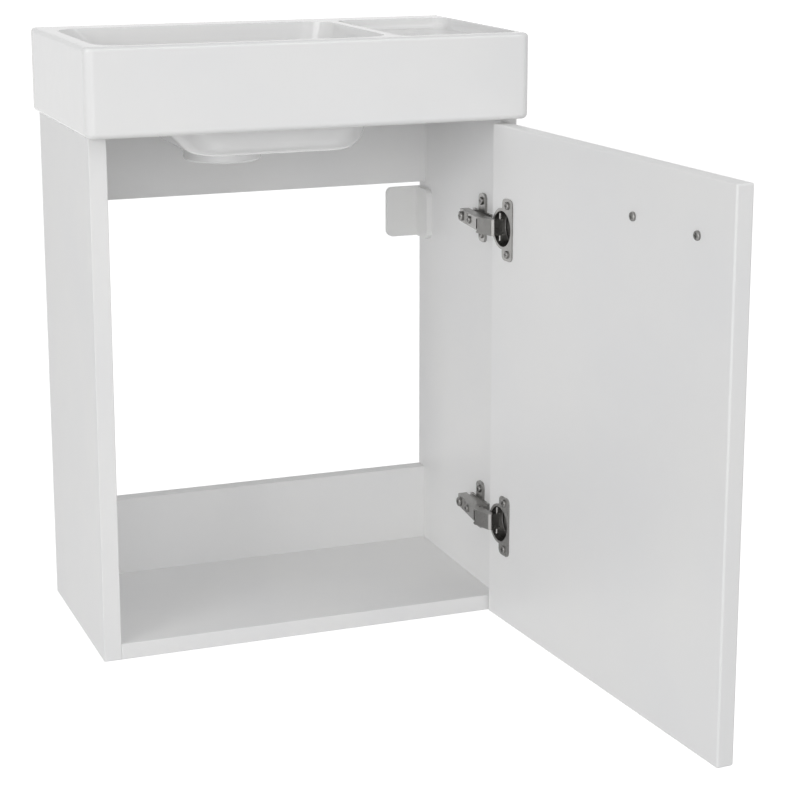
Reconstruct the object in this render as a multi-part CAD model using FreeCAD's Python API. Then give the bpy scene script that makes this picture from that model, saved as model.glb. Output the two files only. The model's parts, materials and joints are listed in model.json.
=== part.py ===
"""Wall-hung bathroom vanity cabinet with a ceramic basin and one hinged door.

Frame: +Z up, the wall is the plane Y = 0 and the cabinet's front faces -Y.
X = 0 is the middle of the cabinet and Z = 0 is the underside of its carcass.
The door is modelled closed, then turned to the open position it rests in.
All sizes are in millimetres and all angles in degrees.
"""

import FreeCAD
import Part
import math
import os

from FreeCAD import Vector

# Carcass
width = 400.0
depth = 202.0
height = 475.0
side_board = 16.0
thin_board = 15.0
lower_rail_height = 76.0
upper_rail_height = 86.0
board_edge_round = 0.8

# Door
door_board = 16.0
door_side_reveal = 2.0
door_top_gap = 4.0
door_front_gap = 2.5
door_edge_round = 2.0
door_open_angle = 94.0

# Basin
basin_side_overhang = 5.0
basin_front_overhang = 18.0
basin_apron = 78.0
basin_wall = 11.0
basin_corner_round = 8.0
basin_top_round = 4.0
basin_bottom_round = 5.0
bowl_side_rim = 13.0
bowl_front_rim = 12.0
bowl_back_rim = 26.0
bowl_width = 268.0
bowl_floor_drop = 96.0
bowl_corner_round = 26.0
bowl_left_slope = 105.0
bowl_right_slope = 22.0
bowl_front_slope = 38.0
bowl_back_slope = 12.0
bowl_floor_round = 14.0
tub_wall = 9.0
tub_outer_floor_round = 19.4
tub_panel_gap = 6.0
deck_drop = 10.0
deck_width = 114.0
deck_round = 12.0
deck_floor_round = 5.0
deck_thickness = 14.0
drain_radius = 23.0
drain_boss_radius = 36.0
drain_boss_drop = 11.5
drain_boss_round = 3.0
drain_from_left = 152.0
tap_radius = 17.5
tap_from_right = 68.0
tap_from_wall = 110.0
tap_boss_radius = 28.0
tap_boss_drop = 4.0

# Wall angles and their covers
angle_wall_leg = 35.0
angle_side_leg = 31.0
angle_height = 46.0
angle_sheet = 2.0
angle_round = 5.0
angle_hole_radius = 3.25
angle_below_rail = 8.0
angle_hole_from_panel = 19.0
cover_margin = 2.0
cover_skin = 1.5
cover_headroom = 2.2
cover_round = 6.0
panel_screw_radius = 2.0
panel_screw_head_radius = 4.0
panel_screw_head = 1.4
panel_screw_length = 12.0
panel_screw_pitch = 24.0
panel_screw_from_wall = 19.0

# Carcass joinery
cam_radius = 7.5
cam_height = 12.0
cam_from_side = 34.0
bolt_radius = 3.0
bolt_thread_radius = 2.5
bolt_thread_length = 11.0
bolt_head_from_cam = 2.6
dowel_radius = 4.0
dowel_length = 30.0
dowel_in_side = 10.0
joint_setback = 37.0
board_dowel_spacing = 32.0
rail_dowel_spacing = 25.6
bore_clearance = 0.05
bore_end_room = 1.0

# Handle
handle_pitch = 96.0
handle_from_free_edge = 51.0
handle_below_top = 47.5
handle_standoff = 24.0
handle_height = 12.0
handle_bar = 6.0
handle_foot = 12.0
handle_outer_round = 8.4
handle_inner_round = 5.4
handle_rim_round = 1.5
handle_hole_clearance = 0.25
handle_screw_radius = 2.0
handle_screw_head_radius = 4.0
handle_screw_head = 2.4
handle_screw_thread = 10.0

# Cross-slotted screws, as shares of their own head and shank
slot_width = 1.0
slot_depth = 0.8
slot_share = 0.6
head_round_share = 0.5
point_share = 0.2

# Concealed hinges. Depths into the door count from its inner face.
hinge_from_door_end = 94.5
cup_radius = 17.5
cup_skin = 1.0
cup_depth = 12.8
cup_floor_room = 0.2
cup_outer_round = 2.0
cup_inner_round = 1.5
cup_edge_distance = 5.0
flange_thickness = 1.2
flange_lip = 1.6
wing_length = 57.0
wing_depth = 19.0
wing_round = 5.0
wing_screw_pitch = 45.0
cup_screw_radius = 1.75
cup_screw_head_radius = 3.6
cup_screw_head = 1.6
cup_screw_length = 10.0
cup_pivot_along = 12.0
cup_pivot_depth = 2.5
arm_pivot_off_panel = 17.3
arm_pivot_behind_front = 3.2
link_turn_per_door_turn = -0.368
pin_radius = 1.25
pin_clearance = 0.05
sheet = 1.3
arm_half_height = 6.0
arm_length = 60.0
arm_nose_radius = 3.4
arm_mouth_room = 3.0
arm_rear_off_panel = 15.0
arm_cheek = 9.0
link_gap = 0.3
link_arm_end_radius = 5.0
link_knee_radius = 3.2
link_cup_end_radius = 3.0
link_knee_along = 12.5
link_knee_depth = -5.0
plate_base = 2.5
plate_wing_length = 46.0
plate_wing_depth = 15.0
plate_wing_round = 5.0
plate_line = 37.0
plate_screw_pitch = 32.0
plate_block_half_height = 4.2
plate_block_front = 16.0
plate_block_rear = 58.0
plate_block_under_web = 0.3
plate_screw_radius = 1.75
plate_screw_head_radius = 3.8
plate_screw_head = 1.8
plate_screw_length = 11.0
fixing_screw_from_front = 52.0
fixing_screw_head_radius = 4.6
fixing_screw_head = 2.6
adjust_screw_from_front = 30.0
adjust_screw_head_radius = 3.6
adjust_screw_head = 1.6
machine_screw_radius = 2.5

# How far a cutting tool runs past what it cuts, and how long a free one is
overrun = 1.0
tool_reach = 30.0

# Tests on edges
tolerance = 1e-3
long_edge = 1.0

half_width = width / 2
inner_half = half_width - side_board
panel_front = -depth
door_width = width - 2 * door_side_reveal
door_height = height - door_top_gap
door_inner_face = panel_front - door_front_gap
door_hinge_edge = half_width - door_side_reveal
basin_bottom = height
basin_top = height + basin_apron
basin_depth = depth + basin_front_overhang
basin_right = half_width + basin_side_overhang
basin_left = -basin_right
bowl_left = basin_left + bowl_side_rim
bowl_right = bowl_left + bowl_width
bowl_front = -basin_depth + bowl_front_rim
bowl_back = -bowl_back_rim
bowl_floor = basin_top - bowl_floor_drop
tub_floor = bowl_floor - tub_wall
deck_top = basin_top - deck_drop
wing_offset = cup_radius + flange_lip - wing_depth / 2
cup_centre = cup_edge_distance + cup_radius
hinge_heights = {
    "lower": hinge_from_door_end,
    "upper": door_height - hinge_from_door_end,
}

UP = Vector(0, 0, 1)


def box(low, high):
    """Box between two opposite corners."""
    size = [high[i] - low[i] for i in range(3)]
    return Part.makeBox(size[0], size[1], size[2], Vector(*low))


def rod(radius, start, end):
    """Round rod from one point to another."""
    start, end = Vector(*start), Vector(*end)
    return Part.makeCylinder(radius, (end - start).Length, start, end - start)


def plate(points, low, high):
    """Flat plate with a polygonal outline in XY, between two heights."""
    corners = [Vector(x, y, low) for x, y in points]
    wire = Part.makePolygon(corners + [corners[0]])
    return Part.Face(wire).extrude(UP * (high - low))


def joined(shapes):
    """One solid from touching or overlapping shapes."""
    return shapes[0].fuse(shapes[1:]).removeSplitter() if len(shapes) > 1 else shapes[0]


def edges_where(shape, test):
    """Edges whose bounding box passes a test."""
    return [edge for edge in shape.Edges if test(edge.BoundBox)]


def upright(bounds):
    """True for the bounds of a vertical edge."""
    return bounds.XLength < tolerance and bounds.YLength < tolerance


def mirrored(shape):
    """The same piece on the other side of the cabinet."""
    return shape.mirror(Vector(0, 0, 0), Vector(1, 0, 0))


def turned(point, degrees):
    """A 2-D point turned about the origin."""
    c, s = math.cos(math.radians(degrees)), math.sin(math.radians(degrees))
    return (c * point[0] - s * point[1], s * point[0] + c * point[1])


# Door placement: points on the closed door are given as a distance along it
# from its hinge edge and a depth into it from its inner face.


def closed_point(along, into):
    """XY place of a point on the closed door."""
    return (door_hinge_edge - along, door_inner_face - into)


arm_pivot = (inner_half - arm_pivot_off_panel, panel_front + arm_pivot_behind_front)
cup_pivot_closed = closed_point(cup_pivot_along, cup_pivot_depth)
link_closed = tuple(cup_pivot_closed[i] - arm_pivot[i] for i in range(2))
link_open = turned(link_closed, link_turn_per_door_turn * door_open_angle)
cup_pivot_open = tuple(arm_pivot[i] + link_open[i] for i in range(2))


def open_point(along, into):
    """XY place of a door point when the door is open."""
    closed = closed_point(along, into)
    arm = turned([closed[i] - cup_pivot_closed[i] for i in range(2)], door_open_angle)
    return tuple(cup_pivot_open[i] + arm[i] for i in range(2))


def opened(shape):
    """A shape of the closed door, moved to where the open door holds it."""
    moved = shape.copy()
    moved.rotate(Vector(*cup_pivot_closed, 0), UP, door_open_angle)
    shift = [cup_pivot_open[i] - cup_pivot_closed[i] for i in range(2)]
    moved.translate(Vector(*shift, 0))
    return moved


def on_door(along_low, along_high, into_low, into_high, low, high):
    """Box on the closed door."""
    far = closed_point(along_high, into_high)
    near = closed_point(along_low, into_low)
    return box((*far, low), (*near, high))


def into_door(radius, along, start, end, z):
    """Rod that runs into the closed door, square to its face."""
    return rod(radius, (*closed_point(along, start), z), (*closed_point(along, end), z))


# Joinery places: each board end is held by a cam and bolt beside two dowels.

board_rows = {
    "bottom": {"flat": True, "mid": thin_board / 2, "lines": (-depth + joint_setback, -joint_setback)},
    "lower": {"flat": False, "mid": thin_board + lower_rail_height / 2, "lines": (-thin_board / 2,)},
    "upper": {"flat": False, "mid": height - upper_rail_height / 2, "lines": (-thin_board / 2,)},
}


def cam_places():
    """Each cam joint: cam centre, axis that the cam turns on, and dowel direction."""
    places = []
    for row in board_rows.values():
        for line in row["lines"]:
            axis = UP if row["flat"] else Vector(0, 1, 0)
            inward = 1 if line < -depth / 2 else -1
            along = Vector(0, inward, 0) if row["flat"] else UP
            places.append((Vector(0, line, row["mid"]), axis, along))
    return places


def cam_disc_at(x, place, axis, radius, start):
    """Cylinder for a cam or for its pocket."""
    centre = Vector(x, place.y, place.z)
    return Part.makeCylinder(radius, cam_height, centre + axis * start, axis)


def dowel_places():
    """Centre line of each dowel, as its Y and Z."""
    places = []
    for place, axis, along in cam_places():
        flat_board = axis == UP
        steps = (board_dowel_spacing,) if flat_board else (-rail_dowel_spacing, rail_dowel_spacing)
        for step in steps:
            at = place + along * step
            places.append((at.y, at.z))
    return places


def joinery(clearance):
    """Cams, bolts and dowels of both sides; with a clearance, their bores."""
    cams, bolts, dowels = [], [], []
    end_room = bore_end_room if clearance else 0.0
    for sign in (-1, 1):
        side_in = sign * inner_half
        cam_x = sign * (inner_half - cam_from_side)
        for place, axis, along in cam_places():
            start = -thin_board / 2 if axis == UP else thin_board / 2 - cam_height
            cams.append(cam_disc_at(cam_x, place, axis, cam_radius + clearance, start))
            tip = side_in + sign * (bolt_thread_length + end_room)
            head_x = cam_x + sign * bolt_head_from_cam
            line = (place.y, place.z)
            thread = rod(bolt_thread_radius + clearance, (side_in, *line), (tip, *line))
            shank = rod(bolt_radius + clearance, (head_x, *line), (side_in, *line))
            bolts.append(joined([thread, shank]))
        for y, z in dowel_places():
            inner = side_in - sign * (dowel_length - dowel_in_side + end_room)
            outer = side_in + sign * (dowel_in_side + end_room)
            dowels.append(rod(dowel_radius + clearance, (inner, y, z), (outer, y, z)))
    return cams, bolts, dowels


def joinery_bores():
    """All the bores for the joinery, as one tool."""
    cams, bolts, dowels = joinery(bore_clearance)
    return Part.makeCompound(cams + bolts + dowels)


def fitted_joinery():
    """Cams with the notch that their bolt head sits in, bolts, and dowels."""
    cams, bolts, dowels = joinery(0.0)
    notched = []
    for cam, bolt in zip(cams, bolts):
        bounds = bolt.BoundBox
        centre = (bounds.Center.y, bounds.Center.z)
        start = (bounds.XMin - bore_clearance, *centre)
        end = (bounds.XMax + bore_clearance, *centre)
        notched.append(cam.cut(rod(bolt_radius + bore_clearance, start, end)))
    return Part.makeCompound(notched), Part.makeCompound(bolts), Part.makeCompound(dowels)


def board(low, high):
    """Coated board with slightly rounded long front edges."""
    blank = box(low, high)
    front = edges_where(
        blank,
        lambda b: b.YMax < low[1] + tolerance and (b.XLength > long_edge or b.ZLength > long_edge),
    )
    return blank.makeFillet(board_edge_round, front)


def angle_screw_places():
    """Heights of the two screws that hold a wall angle to the side panel."""
    middle = angle_middle()
    return (middle - panel_screw_pitch / 2, middle + panel_screw_pitch / 2)


def angle_middle():
    """Height of the middle of the wall angles."""
    return height - upper_rail_height - angle_below_rail - angle_height / 2


def side_panel(bores):
    """Right side panel with the holes for its joinery, hinges and wall angle."""
    panel = board((inner_half, -depth, 0), (half_width, 0, height)).cut(bores)
    holes = []
    for z in angle_screw_places():
        start = (inner_half, -panel_screw_from_wall, z)
        end = (inner_half + panel_screw_length + bore_end_room, -panel_screw_from_wall, z)
        holes.append(rod(panel_screw_radius + bore_clearance, start, end))
    return panel.cut(Part.makeCompound(holes))


def hinge_panel(panel):
    """The side panel with the screw holes of the hinge plates."""
    holes = []
    for centre in hinge_heights.values():
        for z in (centre - plate_screw_pitch / 2, centre + plate_screw_pitch / 2):
            y = panel_front + plate_line
            end = inner_half + plate_screw_length + bore_end_room
            holes.append(rod(plate_screw_radius + bore_clearance, (inner_half, y, z), (end, y, z)))
    return panel.cut(Part.makeCompound(holes))


def bottom_panel(bores):
    """Bottom board, between the side panels."""
    return board((-inner_half, -depth, 0), (inner_half, 0, thin_board)).cut(bores)


def rail(low, high, bores):
    """Back rail, flush with the back of the side panels."""
    return box((-inner_half, -thin_board, low), (inner_half, 0, high)).cut(bores)


def wall_angle():
    """Right steel angle: one leg against the wall, one against the side panel."""
    middle = angle_middle()
    low, high = middle - angle_height / 2, middle + angle_height / 2
    wall_end, side_end = inner_half - angle_wall_leg, -angle_side_leg
    wall_leg = box((wall_end, -angle_sheet, low), (inner_half, 0, high))
    side_leg = box((inner_half - angle_sheet, side_end, low), (inner_half, 0, high))
    wall_leg = wall_leg.makeFillet(
        angle_round, edges_where(wall_leg, lambda b: b.YLength > long_edge and b.XMax < wall_end + tolerance)
    )
    side_leg = side_leg.makeFillet(
        angle_round, edges_where(side_leg, lambda b: b.XLength > long_edge and b.YMax < side_end + tolerance)
    )
    hole_x = inner_half - angle_hole_from_panel
    wall_hole = rod(angle_hole_radius, (hole_x, -angle_sheet - overrun, middle), (hole_x, overrun, middle))
    screw_holes = [
        rod(
            panel_screw_radius + bore_clearance,
            (inner_half - angle_sheet - overrun, -panel_screw_from_wall, z),
            (inner_half + overrun, -panel_screw_from_wall, z),
        )
        for z in angle_screw_places()
    ]
    return joined([wall_leg, side_leg]).cut(Part.makeCompound([wall_hole] + screw_holes))


def angle_cover():
    """Right snap-on cover: an L-shaped shell over the wall angle."""
    middle = angle_middle()
    rise = angle_sheet + cover_headroom + cover_skin
    low = middle - angle_height / 2 - cover_margin
    high = middle + angle_height / 2 + cover_margin
    wall_end = inner_half - angle_wall_leg - cover_margin
    side_end = -angle_side_leg - cover_margin

    def block(inset, thickness):
        left, front = wall_end + inset, side_end + inset
        wall = box((left, -thickness, low + inset), (inner_half, 0, high - inset))
        side = box((inner_half - thickness, front, low + inset), (inner_half, 0, high - inset))
        free_wall = edges_where(wall, lambda b: b.YLength > long_edge and b.XMax < left + tolerance)
        free_side = edges_where(side, lambda b: b.XLength > long_edge and b.YMax < front + tolerance)
        corner = cover_round - inset
        return joined([wall.makeFillet(corner, free_wall), side.makeFillet(corner, free_side)])

    outer = block(0.0, rise)
    inner = block(cover_skin, rise - cover_skin)
    return outer.cut(inner)


def pan_head_screw(radius, head_radius, head, length):
    """Cross-slotted screw along +X: the shank starts at X = 0 and the head is below it."""
    shoulder = (length - radius, 0, 0)
    shank = rod(radius, (0, 0, 0), shoulder)
    point = Part.makeCone(radius, radius * point_share, radius, Vector(*shoulder), Vector(1, 0, 0))
    cap = Part.makeCylinder(head_radius, head, Vector(-head, 0, 0), Vector(1, 0, 0))
    rim = edges_where(cap, lambda b: b.XMax < -head + tolerance)
    cap = cap.makeFillet(head * head_round_share, rim)
    screw = joined([shank, point, cap])
    arm = head_radius * slot_share
    for size in ((arm, slot_width / 2), (slot_width / 2, arm)):
        screw = screw.cut(box((-head - overrun, -size[0], -size[1]), (-head + slot_depth, *size)))
    return screw


def placed_screw(screw, base, direction):
    """Screw with its head's underside at a point, pointing along a direction."""
    turn = FreeCAD.Rotation(Vector(1, 0, 0), Vector(*direction))
    placed = screw.copy()
    placed.Placement = FreeCAD.Placement(Vector(*base), turn)
    return placed


def bracket_screws():
    """Screws of both wall angles."""
    screw = pan_head_screw(
        panel_screw_radius, panel_screw_head_radius, panel_screw_head, panel_screw_length + angle_sheet
    )
    placed = []
    for z in angle_screw_places():
        for sign in (-1, 1):
            base = (sign * (inner_half - angle_sheet), -panel_screw_from_wall, z)
            placed.append(placed_screw(screw, base, (sign, 0, 0)))
    return Part.makeCompound(placed)


# Basin


def rounded_frame(x0, x1, y0, y1, z, corner):
    """Closed outline of a rounded rectangle at one height."""
    k = corner * (1 - math.sqrt(0.5))
    arcs = (
        ((x0, y0 + corner), (x0 + k, y0 + k), (x0 + corner, y0)),
        ((x1 - corner, y0), (x1 - k, y0 + k), (x1, y0 + corner)),
        ((x1, y1 - corner), (x1 - k, y1 - k), (x1 - corner, y1)),
        ((x0 + corner, y1), (x0 + k, y1 - k), (x0, y1 - corner)),
    )
    edges = []
    for index, arc in enumerate(arcs):
        points = [Vector(x, y, z) for x, y in arc]
        edges.append(Part.Arc(*points).toShape())
        following = arcs[(index + 1) % 4][0]
        edges.append(Part.LineSegment(points[2], Vector(*following, z)).toShape())
    return Part.Wire(edges)


def tub(grow, floor, floor_round):
    """Tapered tub: as wide as the bowl at the basin's top, narrower at its floor."""
    corner = bowl_corner_round + grow
    front, back = bowl_front - grow, bowl_back + grow
    top = rounded_frame(bowl_left - grow, bowl_right + grow, front, back, basin_top + overrun, corner)
    base = rounded_frame(
        bowl_left + bowl_left_slope - grow,
        bowl_right - bowl_right_slope + grow,
        front + bowl_front_slope,
        back - bowl_back_slope,
        floor,
        corner,
    )
    solid = Part.makeLoft([base, top], True, True)
    return solid.makeFillet(floor_round, edges_where(solid, lambda b: b.ZMax < floor + tolerance))


def basin_outside():
    """Outer shape of the basin, its back edges sharp where they meet the wall."""
    front = -basin_depth
    block = box((basin_left, front, basin_bottom), (basin_right, 0, basin_top))

    def off_wall(b):
        return not (b.YMin > -tolerance and b.XLength > long_edge)

    corners = edges_where(block, lambda b: upright(b) and b.YMax < front + tolerance)
    block = block.makeFillet(basin_corner_round, corners)
    rim = edges_where(block, lambda b: b.ZMin > basin_top - tolerance and off_wall(b))
    block = block.makeFillet(basin_top_round, rim)
    foot = edges_where(block, lambda b: b.ZMax < basin_bottom + tolerance and off_wall(b))
    return block.makeFillet(basin_bottom_round, foot)


def basin_hollow():
    """Open space under the basin's rim, around its tub."""
    space = box(
        (basin_left + basin_wall, -basin_depth + basin_wall, basin_bottom - overrun),
        (basin_right - basin_wall, -basin_wall, deck_top - deck_thickness),
    )
    return space.makeFillet(basin_wall, edges_where(space, lambda b: b.ZMin > basin_bottom + overrun))


def tub_outside(outer):
    """Outside of the tub, where it stays clear of the boards around it."""
    between_boards = box(
        (-inner_half + tub_panel_gap, panel_front + tub_panel_gap, tub_floor - overrun),
        (inner_half - tub_panel_gap, -thin_board - tub_panel_gap, basin_bottom),
    )
    below_rim = box((basin_left, -basin_depth, basin_bottom), (basin_right, 0, basin_top - basin_top_round))
    whole = tub(tub_wall, tub_floor, tub_outer_floor_round)
    return whole.common(joined([between_boards, below_rim])).common(outer.fuse(between_boards))


def tap_deck():
    """Shallow recess of the tap deck."""
    right = basin_right - bowl_side_rim / 2
    recess = box((right - deck_width, bowl_front, deck_top), (right, bowl_back, basin_top + overrun))
    recess = recess.makeFillet(deck_round, edges_where(recess, upright))
    floor_rim = edges_where(recess, lambda b: b.ZMax < deck_top + tolerance)
    return recess.makeFillet(deck_floor_round, floor_rim)


def basin():
    """Ceramic basin: hollow apron, bowl on the left, tap deck on the right."""
    outer = basin_outside()
    drain_y = (bowl_front + bowl_front_slope + bowl_back - bowl_back_slope) / 2
    drain = (basin_left + drain_from_left, drain_y)
    boss_low = tub_floor - drain_boss_drop
    boss = rod(drain_boss_radius, (*drain, boss_low), (*drain, bowl_floor - tub_wall / 2))
    boss = boss.makeFillet(drain_boss_round, edges_where(boss, lambda b: b.ZMax < boss_low + tolerance))
    tap = (basin_right - tap_from_right, -tap_from_wall)
    tap_boss_low = deck_top - deck_thickness - tap_boss_drop
    tap_boss = rod(tap_boss_radius, (*tap, tap_boss_low), (*tap, deck_top - overrun))
    body = joined([outer.cut(basin_hollow()), tub_outside(outer), boss, tap_boss])
    bowl = tub(0.0, bowl_floor, bowl_floor_round)
    drain_hole = rod(drain_radius, (*drain, boss_low - overrun), (*drain, bowl_floor + overrun))
    tap_hole = rod(tap_radius, (*tap, basin_bottom), (*tap, basin_top))
    for tool in (bowl, tap_deck(), drain_hole, tap_hole):
        body = body.cut(tool)
    return body


# Door and handle


def handle_spots():
    """The two handle screws, as distances along the door from its hinge edge."""
    far = door_width - handle_from_free_edge
    return (far - handle_pitch, far)


handle_z = door_height - handle_below_top


def door_panel():
    """Door board, closed, with its cup pockets and screw holes."""
    slab = on_door(0, door_width, 0, door_board, 0, door_height)
    slab = slab.makeFillet(door_edge_round, slab.Edges)
    holes = []
    pocket_depth = cup_depth + cup_floor_room
    for z in hinge_heights.values():
        holes.append(into_door(cup_radius + bore_clearance, cup_centre, -overrun, pocket_depth, z))
        for step in (-wing_screw_pitch / 2, wing_screw_pitch / 2):
            holes.append(
                into_door(
                    cup_screw_radius + bore_clearance,
                    cup_centre + wing_offset,
                    -overrun,
                    cup_screw_length + bore_end_room,
                    z + step,
                )
            )
    for along in handle_spots():
        radius = handle_screw_radius + handle_hole_clearance
        holes.append(into_door(radius, along, -overrun, door_board + overrun, handle_z))
    return slab.cut(Part.makeCompound(holes))


def handle():
    """Bow handle on the door's outer face."""
    low, high = handle_z - handle_height / 2, handle_z + handle_height / 2
    first, last = handle_spots()
    start, end = first - handle_foot / 2, last + handle_foot / 2
    face, reach = door_board, door_board + handle_standoff
    bow = on_door(start, end, face, reach, low, high)
    gap = on_door(
        start + handle_foot,
        end - handle_foot,
        face - overrun,
        reach - handle_bar,
        low - overrun,
        high + overrun,
    )
    bow_front, gap_front = closed_point(0, reach)[1], closed_point(0, reach - handle_bar)[1]
    outer_corners = edges_where(bow, lambda b: b.ZLength > long_edge and b.YMax < bow_front + tolerance)
    inner_corners = edges_where(gap, lambda b: b.ZLength > long_edge and b.YMax < gap_front + tolerance)
    bow = bow.makeFillet(handle_outer_round, outer_corners)
    bow = bow.cut(gap.makeFillet(handle_inner_round, inner_corners))
    foot_plane = closed_point(0, face)[1]
    rims = edges_where(bow, lambda b: b.ZLength < tolerance and b.YMin < foot_plane - tolerance)
    bow = bow.makeFillet(handle_rim_round, rims)
    radius, depth_in = handle_screw_radius + bore_clearance, face + handle_screw_thread + bore_end_room
    bores = [into_door(radius, along, face - overrun, depth_in, handle_z) for along in (first, last)]
    return bow.cut(Part.makeCompound(bores))


def handle_screws():
    """Screws through the door into the handle's feet."""
    screw = pan_head_screw(
        handle_screw_radius, handle_screw_head_radius, handle_screw_head, door_board + handle_screw_thread
    )
    placed = [
        placed_screw(screw, (*closed_point(along, 0), handle_z), (0, -1, 0)) for along in handle_spots()
    ]
    return Part.makeCompound(placed)


# Hinges: each function builds one hinge around the height z.


def hinge_cup(z):
    """Hinge cup with its flange and screw wings, on the closed door."""
    body = into_door(cup_radius, cup_centre, 0, cup_depth, z)
    low_rim = edges_where(body, lambda b: b.YMax < closed_point(0, cup_depth)[1] + tolerance)
    body = body.makeFillet(cup_outer_round, low_rim)
    lip = into_door(cup_radius + flange_lip, cup_centre, -flange_thickness, 0, z)
    wings = on_door(
        cup_centre + wing_offset - wing_depth / 2,
        cup_centre + wing_offset + wing_depth / 2,
        -flange_thickness,
        0,
        z - wing_length / 2,
        z + wing_length / 2,
    )
    wings = wings.makeFillet(wing_round, edges_where(wings, lambda b: b.YLength > long_edge))
    cavity_floor = cup_depth - cup_skin
    cavity = into_door(cup_radius - cup_skin, cup_centre, -flange_thickness - overrun, cavity_floor, z)
    floor_rim = edges_where(cavity, lambda b: b.YMax < closed_point(0, cavity_floor)[1] + tolerance)
    cavity = cavity.makeFillet(cup_inner_round, floor_rim)
    cup = joined([body, lip, wings]).cut(cavity)
    along = cup_centre + wing_offset
    tools = [
        into_door(cup_screw_radius + bore_clearance, along, -flange_thickness - overrun, overrun, z + step)
        for step in (-wing_screw_pitch / 2, wing_screw_pitch / 2)
    ]
    tools.append(cup_pin(z, pin_clearance / 2))
    return cup.cut(Part.makeCompound(tools))


def cup_pin(z, clearance=0.0):
    """Pin of the outer link, held at both ends in the cup's wall."""
    edge_side = cup_centre - cup_pivot_along + pin_radius + clearance
    reach = math.sqrt(cup_radius**2 - edge_side**2) - pin_clearance + clearance
    at = closed_point(cup_pivot_along, cup_pivot_depth)
    return rod(pin_radius + clearance, (*at, z - reach), (*at, z + reach))


def cup_screws():
    """Screws of the hinge cups."""
    screw = pan_head_screw(
        cup_screw_radius, cup_screw_head_radius, cup_screw_head, cup_screw_length + flange_thickness
    )
    placed = []
    for z in hinge_heights.values():
        for step in (-wing_screw_pitch / 2, wing_screw_pitch / 2):
            at = closed_point(cup_centre + wing_offset, -flange_thickness)
            placed.append(placed_screw(screw, (*at, z + step), (0, -1, 0)))
    return Part.makeCompound(placed)


def arm_web_x(y):
    """X of the arm's outer web at a place along it."""
    front_x = arm_pivot[0] - arm_nose_radius
    rear_x = inner_half - arm_rear_off_panel
    share = (y - arm_pivot[1]) / (arm_length - arm_pivot_behind_front)
    return front_x + (rear_x - front_x) * share


def arm_outline(web_inset, cheek):
    """Side outline of the arm from its nose to its rear end."""
    nose, rear = arm_pivot[1], panel_front + arm_length
    shoulder = nose + arm_cheek
    return (
        (arm_web_x(nose) + web_inset, nose),
        (arm_web_x(rear) + web_inset, rear),
        (arm_web_x(rear) + cheek, rear),
        (arm_web_x(shoulder) + cheek, shoulder),
        (arm_web_x(nose) + 2 * arm_nose_radius, nose),
    )


def screw_spots():
    """Places of the fixing and the adjusting screw along the arm."""
    return (panel_front + fixing_screw_from_front, panel_front + adjust_screw_from_front)


def hinge_arm(z):
    """Channel-shaped arm over the mounting plate, with its nose at the front."""
    low, high = z - arm_half_height, z + arm_half_height
    blank = plate(arm_outline(0.0, arm_cheek), low, high)
    nose = rod(arm_nose_radius, (*arm_pivot, low), (*arm_pivot, high))
    channel = plate(arm_outline(sheet, tool_reach), low + sheet, high - sheet)
    mouth = rod(arm_nose_radius + arm_mouth_room, (*arm_pivot, low + sheet), (*arm_pivot, high - sheet))
    body = joined([blank, nose]).cut(joined([channel, mouth]))
    pin_hole = pin_radius + pin_clearance / 2
    tools = [rod(pin_hole, (*arm_pivot, low - overrun), (*arm_pivot, high + overrun))]
    for y in screw_spots():
        start, end = (inner_half - tool_reach, y, z), (inner_half, y, z)
        tools.append(rod(machine_screw_radius + bore_clearance, start, end))
    return body.cut(Part.makeCompound(tools))


def arm_pin(z):
    """Pin that joins an arm and its link."""
    reach = arm_half_height + link_gap + sheet
    return rod(pin_radius, (*arm_pivot, z - reach), (*arm_pivot, z + reach))


def machine_screws(y, head_radius, head):
    """Machine screw of each hinge: its head lies on the arm, its end in the plate."""
    screws = []
    for z in hinge_heights.values():
        seat = arm_web_x(y - head_radius)
        length = inner_half - plate_base - seat
        screw = pan_head_screw(machine_screw_radius, head_radius, head, length)
        screws.append(placed_screw(screw, (seat, y, z), (1, 0, 0)))
    return Part.makeCompound(screws)


def hinge_plate(z):
    """Mounting plate on the side panel: two screw wings and a block under the arm."""
    face = inner_half
    line = panel_front + plate_line
    wings = box(
        (face - plate_base, line - plate_wing_depth / 2, z - plate_wing_length / 2),
        (face, line + plate_wing_depth / 2, z + plate_wing_length / 2),
    )
    wings = wings.makeFillet(plate_wing_round, edges_where(wings, lambda b: b.XLength > long_edge))
    front, rear = panel_front + plate_block_front, panel_front + plate_block_rear
    under = sheet + plate_block_under_web
    outline = (
        (arm_web_x(front) + under, front),
        (arm_web_x(rear) + under, rear),
        (face, rear),
        (face, front),
    )
    block = plate(outline, z - plate_block_half_height, z + plate_block_half_height)
    foot = box((face - plate_base, front, z - arm_half_height), (face, rear, z + arm_half_height))
    tools = []
    for step in (-plate_screw_pitch / 2, plate_screw_pitch / 2):
        start, end = (face - tool_reach, line, z + step), (face + overrun, line, z + step)
        tools.append(rod(plate_screw_radius + bore_clearance, start, end))
    for y in screw_spots():
        start, end = (face - tool_reach, y, z), (face - plate_base + bore_clearance, y, z)
        tools.append(rod(machine_screw_radius + bore_clearance, start, end))
    return joined([wings, block, foot]).cut(Part.makeCompound(tools))


def plate_screws():
    """Screws of both mounting plates."""
    screw = pan_head_screw(
        plate_screw_radius, plate_screw_head_radius, plate_screw_head, plate_screw_length + plate_base
    )
    placed = []
    for z in hinge_heights.values():
        for step in (-plate_screw_pitch / 2, plate_screw_pitch / 2):
            base = (inner_half - plate_base, panel_front + plate_line, z + step)
            placed.append(placed_screw(screw, base, (1, 0, 0)))
    return Part.makeCompound(placed)


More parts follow.
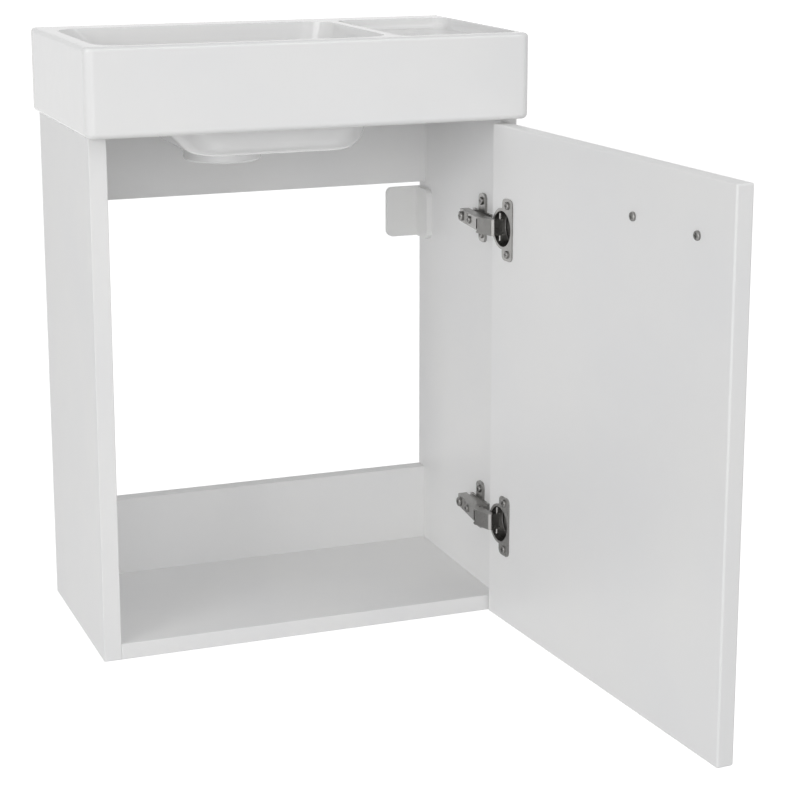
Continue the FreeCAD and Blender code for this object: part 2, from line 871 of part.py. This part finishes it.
def tangents(start, start_radius, end, end_radius):
    """Outline of the straight stretch that joins two circles: right side, then left."""
    run = (end[0] - start[0], end[1] - start[1])
    heading = math.degrees(math.atan2(run[1], run[0]))
    lean = math.degrees(math.acos((start_radius - end_radius) / math.hypot(*run)))
    right, left = turned((1, 0), heading - lean), turned((1, 0), heading + lean)

    def on(centre, radius, side):
        return (centre[0] + radius * side[0], centre[1] + radius * side[1])

    return (
        on(start, start_radius, right),
        on(end, end_radius, right),
        on(end, end_radius, left),
        on(start, start_radius, left),
    )


def link_circles(inset):
    """Centres and radii of the link at the arm, at its knee and at the cup."""
    knee = open_point(link_knee_along, link_knee_depth)
    return (
        (arm_pivot, link_arm_end_radius - inset),
        (knee, link_knee_radius - inset),
        (cup_pivot_open, link_cup_end_radius - inset),
    )


def link_bar(inset, low, high):
    """Bar through the link's three circles."""
    circles = link_circles(inset)
    parts = [rod(radius, (*centre, low), (*centre, high)) for centre, radius in circles]
    for start, end in zip(circles, circles[1:]):
        parts.append(plate(tangents(*start, *end), low, high))
    return joined(parts)


def hinge_link(z):
    """Link: two cheeks beside the arm's nose, joined by a web on the open side."""
    outer = arm_half_height + link_gap + sheet
    inner = arm_half_height + link_gap
    bar = link_bar(0.0, z - outer, z + outer)
    cheeks = bar.cut(link_bar(-overrun, z - inner, z + inner))
    arm_end, knee, cup_end = link_circles(0.0)
    first = tangents(*arm_end, *knee)
    second = tangents(*knee, *cup_end)
    bend = tuple(first[1][i] + second[0][i] - knee[0][i] for i in range(2))
    open_side = (arm_end[0], first[0], first[1], bend, second[0], second[1], cup_end[0], knee[0])
    web = bar.common(plate(open_side, z - outer, z + outer)).cut(link_bar(sheet, z - inner, z + inner))
    body = joined([cheeks, web])
    pin_hole = pin_radius + pin_clearance
    low, high = z - outer - overrun, z + outer + overrun
    pins = [rod(pin_hole, (*centre, low), (*centre, high)) for centre in (arm_pivot, cup_pivot_open)]
    return body.cut(Part.makeCompound(pins))


nodes = {}
bores = joinery_bores()
right_panel = side_panel(bores)
nodes["side_panel_left"] = mirrored(right_panel)
nodes["side_panel_right"] = hinge_panel(right_panel)
nodes["bottom_panel"] = bottom_panel(bores)
nodes["back_rail_lower"] = rail(thin_board, thin_board + lower_rail_height, bores)
nodes["back_rail_upper"] = rail(height - upper_rail_height, height, bores)
nodes["cam_discs"], nodes["cam_bolts"], nodes["wooden_dowels"] = fitted_joinery()
nodes["basin"] = basin()
nodes["wall_angle_right"] = wall_angle()
nodes["wall_angle_left"] = mirrored(nodes["wall_angle_right"])
nodes["angle_cover_right"] = angle_cover()
nodes["angle_cover_left"] = mirrored(nodes["angle_cover_right"])
nodes["wall_angle_screws"] = bracket_screws()
for place, centre in hinge_heights.items():
    nodes["hinge_plate_" + place] = hinge_plate(centre)
    nodes["hinge_arm_" + place] = hinge_arm(centre)
    nodes["hinge_link_" + place] = hinge_link(centre)
    nodes["hinge_cup_" + place] = opened(hinge_cup(centre))
    nodes["hinge_arm_pin_" + place] = arm_pin(centre)
    nodes["hinge_cup_pin_" + place] = opened(cup_pin(centre))
nodes["hinge_plate_screws"] = plate_screws()
fixing_y, adjust_y = screw_spots()
nodes["hinge_fixing_screws"] = machine_screws(fixing_y, fixing_screw_head_radius, fixing_screw_head)
nodes["hinge_adjusting_screws"] = machine_screws(adjust_y, adjust_screw_head_radius, adjust_screw_head)
nodes["hinge_cup_screws"] = opened(cup_screws())
nodes["door_panel"] = opened(door_panel())
nodes["handle"] = opened(handle())
nodes["handle_screws"] = opened(handle_screws())

os.makedirs("parts", exist_ok=True)
for name, shape in nodes.items():
    shape.exportStep("parts/" + name + ".step")
    print(name, len(shape.Solids), shape.isValid(), round(shape.Volume))
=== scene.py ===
"""Looks of the wall-hung vanity cabinet: finishes, small details, light and camera. Sizes are in metres."""

import bmesh
import bpy
import json
import math

from mathutils import Euler, Matrix, Vector


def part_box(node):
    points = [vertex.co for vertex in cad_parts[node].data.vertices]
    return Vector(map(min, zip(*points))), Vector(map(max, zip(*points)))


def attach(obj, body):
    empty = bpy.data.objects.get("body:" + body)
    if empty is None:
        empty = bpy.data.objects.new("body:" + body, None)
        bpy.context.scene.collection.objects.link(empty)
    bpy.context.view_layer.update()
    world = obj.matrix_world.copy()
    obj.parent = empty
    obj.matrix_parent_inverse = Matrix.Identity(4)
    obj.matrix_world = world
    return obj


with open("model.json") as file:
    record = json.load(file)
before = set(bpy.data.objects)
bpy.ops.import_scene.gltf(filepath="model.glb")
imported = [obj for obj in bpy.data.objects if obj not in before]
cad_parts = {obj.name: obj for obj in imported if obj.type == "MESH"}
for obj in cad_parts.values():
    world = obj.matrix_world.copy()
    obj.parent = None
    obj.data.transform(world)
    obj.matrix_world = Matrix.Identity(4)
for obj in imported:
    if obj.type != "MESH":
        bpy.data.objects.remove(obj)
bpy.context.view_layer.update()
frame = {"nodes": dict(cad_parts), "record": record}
nodes = frame["nodes"]

MM = 0.001

# The room: a usual height of the basin's rim, and a floor wide enough to reach past every view
BASIN_RIM_ABOVE_ROOM_FLOOR = 0.85
FLOOR_RADIUS = 30.0
FLOOR_CENTRE_Y = -0.1
FLOOR_TONE = (0.66, 0.66, 0.66)
FLOOR_ROUGHNESS = 0.9
FLOOR_GLOW = 0.78
WHITE = (1.0, 1.0, 1.0, 1.0)

# Edge bands on the boards' fronts, and the hairline joint behind each
EDGE_BAND = 1.0 * MM
JOINT_LINE = 0.25 * MM
JOINT_GREY = (0.45, 0.44, 0.42)
JOINT_SHARE = 0.35

# Where the basin's glaze stops: bare within these distances of its foot and its wall side
BARE_FOOT = 0.6 * MM
BARE_BACK = 0.2 * MM
GLAZE_EDGE = 1.0 * MM
GLAZE_WOBBLE = 1.6 * MM

# Ribs pressed across the hinge arms
RIB_PITCH = 1.5 * MM
RIB_RISE = 0.45 * MM
RIB_ROUND = 0.12 * MM
RIB_SHARE_OF_ARM = 0.92
REAR_END = 0.1 * MM

# Camera, fitted to the photograph with a part of its lens shift; angles are in degrees
SENSOR = 36.0
LENS = 95.2
LENS_SHIFT = -0.1
EYE = (-0.5953, -1.9706, 0.7174)
LOOKS_DOWN = 12.62
LOOKS_RIGHT = 21.04


# Small helpers for node materials


class Recipe:
    """A node material under construction: a Principled shader with helpers for what feeds it."""

    def __init__(self, name, color, roughness, metallic=0.0):
        self.material = bpy.data.materials.new(name)
        self.material.use_nodes = True
        self.tree = self.material.node_tree
        self.shader = self.tree.nodes["Principled BSDF"]
        self.shader.inputs["Base Color"].default_value = (*color, 1.0)
        self.shader.inputs["Roughness"].default_value = roughness
        self.shader.inputs["Metallic"].default_value = metallic
        self.place = self.tree.nodes.new("ShaderNodeTexCoord").outputs["Object"]

    def node(self, kind, inputs=None, **settings):
        """New node with its settings and its unlinked or linked inputs."""
        made = self.tree.nodes.new(kind)
        for key, value in settings.items():
            setattr(made, key, value)
        for key, value in (inputs or {}).items():
            self.feed(made.inputs[key], value)
        return made

    def feed(self, socket, value):
        """Links an output to a socket, or sets a plain value on it."""
        if isinstance(value, bpy.types.NodeSocket):
            self.tree.links.new(value, socket)
        else:
            socket.default_value = value

    def stretched(self, scale):
        """Object coordinates scaled along each axis, in features per metre."""
        return self.node("ShaderNodeMapping", {"Vector": self.place, "Scale": scale}).outputs["Vector"]

    def noise(self, scale, detail=2.0, roughness=0.5, vector=None):
        """Noise from 0 to 1: scale is in features per metre, or a factor on a stretched vector."""
        inputs = {"Vector": vector or self.place, "Scale": scale, "Detail": detail, "Roughness": roughness}
        return self.node("ShaderNodeTexNoise", inputs).outputs["Fac"]

    def ramp(self, value, low, high, start=0.0, end=1.0):
        """Goes from low to high, clamped, while a value goes from start to end."""
        inputs = {"Value": value, "From Min": start, "From Max": end, "To Min": low, "To Max": high}
        return self.node("ShaderNodeMapRange", inputs).outputs["Result"]

    def rise(self, value, start, end):
        """0 up to start and 1 from end."""
        return self.ramp(value, 0.0, 1.0, start, end)

    def fall(self, value, start, end):
        """1 up to start and 0 from end."""
        return self.ramp(value, 1.0, 0.0, start, end)

    def patches(self, scale):
        """Soft patches from 0 to 1."""
        return self.rise(self.noise(scale, detail=3.0), start=0.35, end=0.65)

    def math(self, operation, a, b=0.0):
        """One arithmetic step."""
        return self.node("ShaderNodeMath", {0: a, 1: b}, operation=operation).outputs["Value"]

    def times(self, value, factor):
        """Product of two values."""
        return self.math("MULTIPLY", value, factor)

    def along(self, axis):
        """Object coordinate along an axis, which is the frame's own, in metres."""
        return self.node("ShaderNodeSeparateXYZ", {"Vector": self.place}).outputs[axis]

    def distance(self, value, plane):
        """Distance of a coordinate from a plane, in metres."""
        return self.math("ABSOLUTE", self.math("SUBTRACT", value, plane))

    def blend(self, share, a, b):
        """Colour between two colours."""
        mix = self.node("ShaderNodeMix", data_type="RGBA")
        self.feed(mix.inputs["Factor"], share)
        for socket, color in ((mix.inputs[6], a), (mix.inputs[7], b)):
            self.feed(socket, color if isinstance(color, bpy.types.NodeSocket) else (*color, 1.0))
        return mix.outputs[2]

    def sharp_edges(self):
        """1 on sharp outer edges, 0 on flat faces."""
        pointiness = self.node("ShaderNodeNewGeometry").outputs["Pointiness"]
        return self.rise(pointiness, start=0.52, end=0.62)

    def color(self, tone):
        """Feeds the base colour."""
        self.feed(self.shader.inputs["Base Color"], tone)

    def roughness(self, value, low, high):
        """Roughness that goes from low to high while a value goes from 0 to 1."""
        self.feed(self.shader.inputs["Roughness"], self.ramp(value, low, high))

    def bump(self, height, depth):
        """Bump from a height value: depth is in metres."""
        bump = self.node("ShaderNodeBump", {"Height": height, "Distance": depth})
        self.feed(self.shader.inputs["Normal"], bump.outputs["Normal"])


def white_board(front):
    """White melamine on chipboard: a fine orange-peel skin, and a hairline joint behind each edge band."""
    recipe = Recipe("white_board", (0.85, 0.85, 0.85), 0.45)
    cool = (0.845, 0.846, 0.849)
    warm = (0.866, 0.865, 0.861)
    dark = (0.76, 0.75, 0.73)
    speck = recipe.rise(recipe.noise(2600.0, detail=1.0), start=0.74, end=0.8)
    tone = recipe.blend(recipe.patches(9.0), cool, warm)
    tone = recipe.blend(recipe.times(speck, 0.25), tone, dark)
    joint = recipe.fall(recipe.distance(recipe.along("Y"), front + EDGE_BAND), start=0.0, end=JOINT_LINE)
    recipe.color(recipe.blend(recipe.times(joint, JOINT_SHARE), tone, JOINT_GREY))
    recipe.roughness(recipe.noise(60.0, detail=3.0), low=0.38, high=0.5)
    peel = recipe.math("ADD", recipe.noise(1400.0), recipe.times(recipe.noise(260.0), 0.6))
    recipe.bump(recipe.math("SUBTRACT", peel, joint), depth=0.06 * MM)
    return recipe.material


def door_foil():
    """White foil on the door: smoother than the carcass, with a faint vertical brush."""
    recipe = Recipe("door_foil", (0.8, 0.8, 0.8), 0.4)
    cool = (0.86, 0.862, 0.866)
    warm = (0.88, 0.879, 0.875)
    recipe.color(recipe.blend(recipe.patches(7.0), cool, warm))
    recipe.roughness(recipe.noise(45.0, detail=3.0), low=0.33, high=0.44)
    brushed = recipe.noise(1.0, vector=recipe.stretched((1500.0, 1500.0, 60.0)))
    peel = recipe.math("ADD", recipe.noise(900.0), recipe.times(brushed, 0.4))
    recipe.bump(peel, depth=0.05 * MM)
    return recipe.material


def glazed_ceramic(foot, back):
    """White glaze with a soft waviness; the foot and the wall side are bare, matt and warmer."""
    recipe = Recipe("glazed_ceramic", (0.85, 0.85, 0.845), 0.08)
    recipe.shader.inputs["Specular IOR Level"].default_value = 0.4
    cool = (0.862, 0.864, 0.867)
    warm = (0.879, 0.878, 0.874)
    biscuit_dark = (0.74, 0.715, 0.68)
    biscuit_pale = (0.8, 0.785, 0.755)
    wobble = recipe.times(recipe.noise(120.0), GLAZE_WOBBLE)
    height = recipe.math("ADD", recipe.along("Z"), wobble)
    depth = recipe.math("ADD", recipe.along("Y"), wobble)
    bare_foot = recipe.fall(recipe.distance(height, foot), start=BARE_FOOT, end=BARE_FOOT + GLAZE_EDGE)
    bare_back = recipe.rise(depth, start=back - BARE_BACK - GLAZE_EDGE, end=back - BARE_BACK)
    bare = recipe.math("MAXIMUM", bare_foot, bare_back)
    glaze = recipe.blend(recipe.patches(11.0), cool, warm)
    biscuit = recipe.blend(recipe.noise(700.0, detail=3.0), biscuit_dark, biscuit_pale)
    recipe.color(recipe.blend(bare, glaze, biscuit))
    recipe.roughness(bare, low=0.09, high=0.75)
    grain = recipe.times(recipe.noise(1500.0), recipe.times(bare, 0.35))
    recipe.bump(recipe.math("ADD", recipe.noise(22.0), grain), depth=0.2 * MM)
    return recipe.material


def metal(name, color, roughness, brush, scratch):
    """Plated or polished metal with fine drawn lines, scratch metres deep, and brighter edges."""
    recipe = Recipe(name, color, roughness, metallic=1.0)
    dull = tuple(0.8 * c for c in color)
    bright = tuple(1.18 * c for c in color)
    tone = recipe.blend(recipe.rise(recipe.noise(240.0, detail=3.0), start=0.3, end=0.7), dull, color)
    # Base colour is lighter on sharp outer edges
    recipe.color(recipe.blend(recipe.sharp_edges(), tone, bright))
    lines = recipe.noise(1.0, detail=3.0, vector=recipe.stretched((200.0, 200.0, 2600.0)))
    recipe.roughness(lines, low=roughness - brush, high=roughness + brush)
    recipe.bump(lines, scratch)
    return recipe.material


def white_plastic():
    """Moulded white plastic with a fine spark-eroded texture."""
    recipe = Recipe("white_plastic", (0.8, 0.8, 0.79), 0.4)
    recipe.color(recipe.blend(recipe.noise(30.0), (0.835, 0.835, 0.83), (0.855, 0.855, 0.845)))
    recipe.roughness(recipe.noise(300.0), low=0.34, high=0.46)
    recipe.bump(recipe.noise(2200.0, detail=3.0), depth=0.05 * MM)
    return recipe.material


def beech():
    """Raw beech dowels: grain along the dowel with short dark flecks."""
    recipe = Recipe("beech", (0.62, 0.42, 0.25), 0.6)
    dark = (0.54, 0.35, 0.2)
    pale = (0.72, 0.52, 0.33)
    brown = (0.38, 0.23, 0.12)
    grain = recipe.noise(1.0, detail=4.0, roughness=0.6, vector=recipe.stretched((40.0, 900.0, 900.0)))
    fleck = recipe.noise(1.0, vector=recipe.stretched((120.0, 1800.0, 1800.0)))
    share = recipe.rise(fleck, start=0.6, end=0.75)
    recipe.color(recipe.blend(share, recipe.blend(grain, dark, pale), brown))
    recipe.bump(grain, depth=0.1 * MM)
    return recipe.material


# Finishes of the carried pieces

basin_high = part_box("basin")[1]
apron_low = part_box("side_panel_left")[1].z
nickel = (0.29, 0.286, 0.278)
zinc = (0.5, 0.51, 0.52)
polished = (0.72, 0.72, 0.73)
finishes = {
    "white_board": white_board(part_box("side_panel_left")[0].y),
    "door_finish": door_foil(),
    "glazed_ceramic": glazed_ceramic(apron_low, basin_high.y),
    "white_plastic": white_plastic(),
    "nickel_steel": metal("nickel_steel", nickel, roughness=0.3, brush=0.1, scratch=0.03 * MM),
    "zinc": metal("zinc", zinc, roughness=0.42, brush=0.1, scratch=0.05 * MM),
    "handle_metal": metal("handle_metal", polished, roughness=0.16, brush=0.05, scratch=0.01 * MM),
    "beech": beech(),
}
for part in frame["record"]["subparts"]:
    carried = nodes[part["node"]]
    for slot in carried.material_slots:
        slot.material = finishes[part["material_slot"]]


# Small details on the hinges


def arm_ribs(where):
    """Pressed ribs across a hinge arm's outer face, between the heads of its two screws."""
    arm_low, arm_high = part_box("hinge_arm_" + where)
    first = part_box("hinge_adjusting_screws")[1].y + RIB_PITCH
    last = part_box("hinge_fixing_screws")[0].y - RIB_PITCH / 2
    points = [v.co for v in nodes["hinge_arm_" + where].data.vertices]
    rear = max(v.y for v in points)
    rear_x = min(v.x for v in points if v.y > rear - REAR_END)
    slope = (rear_x - arm_low.x) / (rear - arm_low.y)
    middle_z = (arm_low.z + arm_high.z) / 2
    size = (2 * RIB_RISE, RIB_PITCH / 2, (arm_high.z - arm_low.z) * RIB_SHARE_OF_ARM)
    mesh = bmesh.new()
    y = first
    while y < last:
        x = arm_low.x + slope * (y - arm_low.y)
        place = Matrix.Translation((x, y, middle_z)) @ Matrix.Diagonal((*size, 1.0))
        bmesh.ops.create_cube(mesh, size=1.0, matrix=place)
        y += RIB_PITCH
    data = bpy.data.meshes.new("hinge_arm_ribs_" + where)
    mesh.to_mesh(data)
    mesh.free()
    ribs = bpy.data.objects.new(data.name, data)
    bpy.context.scene.collection.objects.link(ribs)
    bevel = ribs.modifiers.new("rounded", "BEVEL")
    bevel.width = RIB_ROUND
    bevel.segments = 2
    data.materials.append(finishes["nickel_steel"])
    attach(ribs, "cabinet")


for where in ("lower", "upper"):
    arm_ribs(where)


# Stage: a plain pale floor under the hung cabinet, a white surround and soft lamps


def sees_background(tree):
    """1 for rays that show the background: from the camera, off gloss and through glass."""
    path = tree.nodes.new("ShaderNodeLightPath")
    total = path.outputs["Is Camera Ray"]
    for name in ("Is Glossy Ray", "Is Transmission Ray"):
        step = tree.nodes.new("ShaderNodeMath")
        step.operation = "MAXIMUM"
        tree.links.new(total, step.inputs[0])
        tree.links.new(path.outputs[name], step.inputs[1])
        total = step.outputs["Value"]
    return total


def floor():
    """Round floor of the room, pale, with a glow that makes it read as white outside the shadow."""
    bpy.ops.mesh.primitive_circle_add(vertices=96, radius=FLOOR_RADIUS, fill_type="NGON")
    disc = bpy.context.object
    disc.name = "floor"
    disc.location = (0.0, FLOOR_CENTRE_Y, basin_high.z - BASIN_RIM_ABOVE_ROOM_FLOOR)
    recipe = Recipe("floor", FLOOR_TONE, FLOOR_ROUGHNESS)
    strength = recipe.times(sees_background(recipe.tree), FLOOR_GLOW)
    glow = recipe.node("ShaderNodeEmission", {"Strength": strength}).outputs["Emission"]
    both = recipe.node("ShaderNodeAddShader", {0: recipe.shader.outputs["BSDF"], 1: glow})
    recipe.feed(recipe.tree.nodes["Material Output"].inputs["Surface"], both.outputs["Shader"])
    disc.data.materials.append(recipe.material)


def surround(front, back):
    """World: white where it is seen; its light on things is soft and stronger from the front."""
    world = bpy.data.worlds.new("surround")
    bpy.context.scene.world = world
    world.use_nodes = True
    tree = world.node_tree
    background = tree.nodes["Background"]
    background.inputs["Color"].default_value = WHITE
    direction = tree.nodes.new("ShaderNodeSeparateXYZ")
    tree.links.new(tree.nodes.new("ShaderNodeTexCoord").outputs["Generated"], direction.inputs["Vector"])
    ambient = tree.nodes.new("ShaderNodeMapRange")
    tree.links.new(direction.outputs["Y"], ambient.inputs["Value"])
    ambient.inputs["From Min"].default_value = -1.0
    ambient.inputs["To Min"].default_value = front
    ambient.inputs["To Max"].default_value = back
    strength = tree.nodes.new("ShaderNodeMapRange")
    tree.links.new(sees_background(tree), strength.inputs["Value"])
    tree.links.new(ambient.outputs["Result"], strength.inputs["To Min"])
    strength.inputs["To Max"].default_value = 1.0
    tree.links.new(strength.outputs["Result"], background.inputs["Strength"])


def softbox(name, place, target, size, power):
    """Square soft lamp aimed at a point: power is in watts."""
    data = bpy.data.lights.new(name, "AREA")
    data.size = size
    data.energy = power
    lamp = bpy.data.objects.new(name, data)
    bpy.context.scene.collection.objects.link(lamp)
    lamp.location = place
    lamp.rotation_euler = (Vector(target) - Vector(place)).to_track_quat("-Z", "Y").to_euler()


def camera():
    """Camera in front of the cabinet and to its left, a little above the basin."""
    data = bpy.data.cameras.new("camera")
    data.lens = LENS
    data.sensor_width = SENSOR
    data.shift_y = LENS_SHIFT
    eye = bpy.data.objects.new("camera", data)
    bpy.context.scene.collection.objects.link(eye)
    eye.location = EYE
    eye.rotation_euler = Euler((math.radians(90 - LOOKS_DOWN), 0.0, math.radians(-LOOKS_RIGHT)))
    bpy.context.scene.camera = eye


middle = (0.0, -0.15, 0.28)
camera()
floor()
surround(front=0.6, back=0.26)
softbox("key", place=(0.9, -1.7, 2.3), target=middle, size=1.4, power=10.0)
softbox("side", place=(-2.5, -1.7, 1.0), target=middle, size=1.4, power=27.0)
softbox("front", place=(-0.6, -2.8, 0.5), target=middle, size=1.6, power=7.0)

bpy.context.scene.view_settings.view_transform = "Standard"
